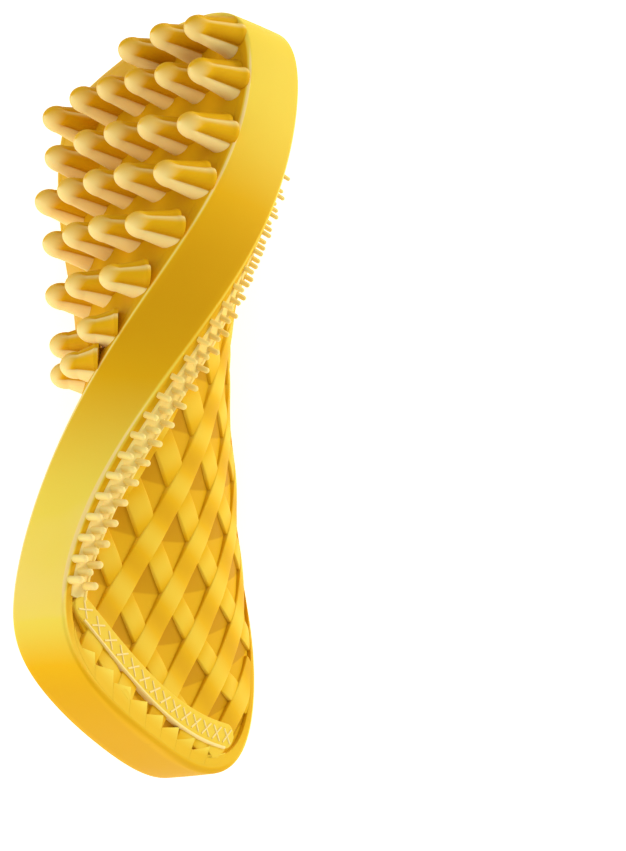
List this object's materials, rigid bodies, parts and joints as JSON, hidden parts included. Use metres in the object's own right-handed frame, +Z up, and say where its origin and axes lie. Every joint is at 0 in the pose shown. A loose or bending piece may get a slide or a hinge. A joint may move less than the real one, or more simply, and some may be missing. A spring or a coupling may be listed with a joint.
{
  "type": "pet grooming brush",
  "caption": "Palm-held silicone pet grooming brush: a twisted plate with fluted tines on one face, a bristled ledge and a woven lattice grip on the other.",
  "frame": {"origin": "middle of the brush's bounding box, on the surface that it rests on", "axes": "+Y along the brush towards the tined head, +Z up from the surface that the brush rests on with its long edge, +X towards the side of the palm lattice"},
  "size_m": [0.064, 0.16, 0.0655],
  "materials": {
    "silicone_body": "satin moulded silicone, golden yellow",
    "silicone_tines": "satin moulded silicone, golden yellow, paler towards the tips",
    "silicone_bristles": "satin moulded silicone, golden yellow",
    "silicone_lattice": "satin moulded silicone, golden yellow",
    "silicone_details": "satin moulded silicone, golden yellow"
  },
  "bodies": {
    "root": {"core": "silicone_body", "side_band": "silicone_body", "tine_row_1": "silicone_tines", "tine_row_2": "silicone_tines", "tine_row_3": "silicone_tines", "tine_row_4": "silicone_tines", "tine_row_5": "silicone_tines", "tine_row_6": "silicone_tines", "tine_row_7": "silicone_tines", "tine_row_8": "silicone_tines", "bristle_ledge": "silicone_bristles", "bristles_inner": "silicone_bristles", "bristles_middle": "silicone_bristles", "bristles_outer": "silicone_bristles", "palm_lattice_lower": "silicone_lattice", "palm_lattice_upper": "silicone_lattice", "handle_lattice_lower": "silicone_lattice", "handle_lattice_upper": "silicone_lattice", "grip_rib": "silicone_details", "rib_bead": "silicone_details", "rib_crosses": "silicone_details", "edge_teeth": "silicone_details"}
  },
  "joints": []
}
